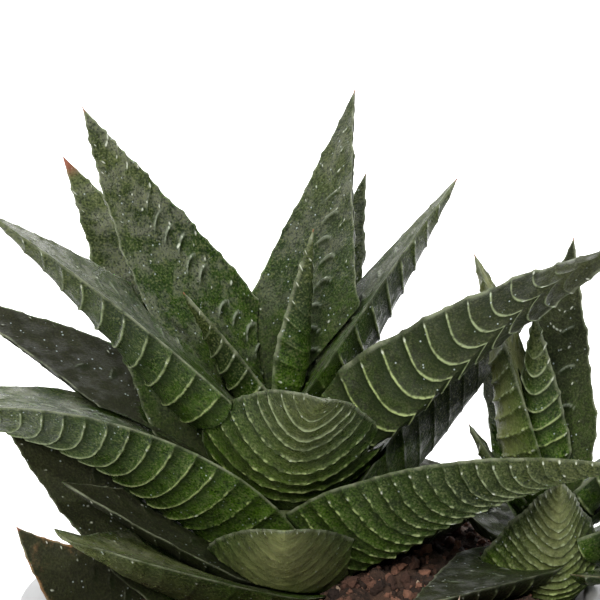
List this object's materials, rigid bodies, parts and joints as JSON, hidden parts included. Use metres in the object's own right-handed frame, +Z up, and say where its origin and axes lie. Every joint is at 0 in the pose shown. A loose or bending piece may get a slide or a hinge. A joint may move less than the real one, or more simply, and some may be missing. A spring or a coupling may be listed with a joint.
{
  "type": "potted haworthia",
  "caption": "Haworthia with stiff pointed leaves crossed by pale raised ridges, a main rosette and an offset, growing in soil heaped in a plain round white pot.",
  "frame": {"origin": "middle of the pot's flat underside", "axes": "+Z up along the pot's axis, -Y towards the front of the plant, +X towards the offset rosette"},
  "size_m": [0.1706, 0.1246, 0.206],
  "materials": {
    "leaf": "firm waxy leaf, half gloss",
    "stem": "pale green stem, matte",
    "soil": "loose dark soil, matte",
    "pot": "smooth white glaze"
  },
  "bodies": {
    "root": {"pot": "pot", "soil": "soil", "main_stem": "stem", "offset_stem": "stem", "main_leaf_01": "leaf", "main_leaf_02": "leaf", "main_leaf_03": "leaf", "main_leaf_04": "leaf", "main_leaf_05": "leaf", "main_leaf_06": "leaf", "main_leaf_07": "leaf", "main_leaf_08": "leaf", "main_leaf_09": "leaf", "main_leaf_10": "leaf", "main_leaf_11": "leaf", "main_leaf_12": "leaf", "main_leaf_13": "leaf", "main_leaf_14": "leaf", "main_leaf_15": "leaf", "main_leaf_16": "leaf", "main_leaf_17": "leaf", "main_leaf_18": "leaf", "main_leaf_19": "leaf", "main_leaf_20": "leaf", "main_leaf_21": "leaf", "main_leaf_22": "leaf", "main_leaf_23": "leaf", "main_leaf_24": "leaf", "offset_leaf_01": "leaf", "offset_leaf_02": "leaf", "offset_leaf_03": "leaf", "offset_leaf_04": "leaf", "offset_leaf_05": "leaf", "offset_leaf_06": "leaf", "offset_leaf_07": "leaf", "offset_leaf_08": "leaf", "offset_leaf_09": "leaf", "offset_leaf_10": "leaf", "offset_leaf_11": "leaf", "offset_leaf_12": "leaf"}
  },
  "joints": []
}
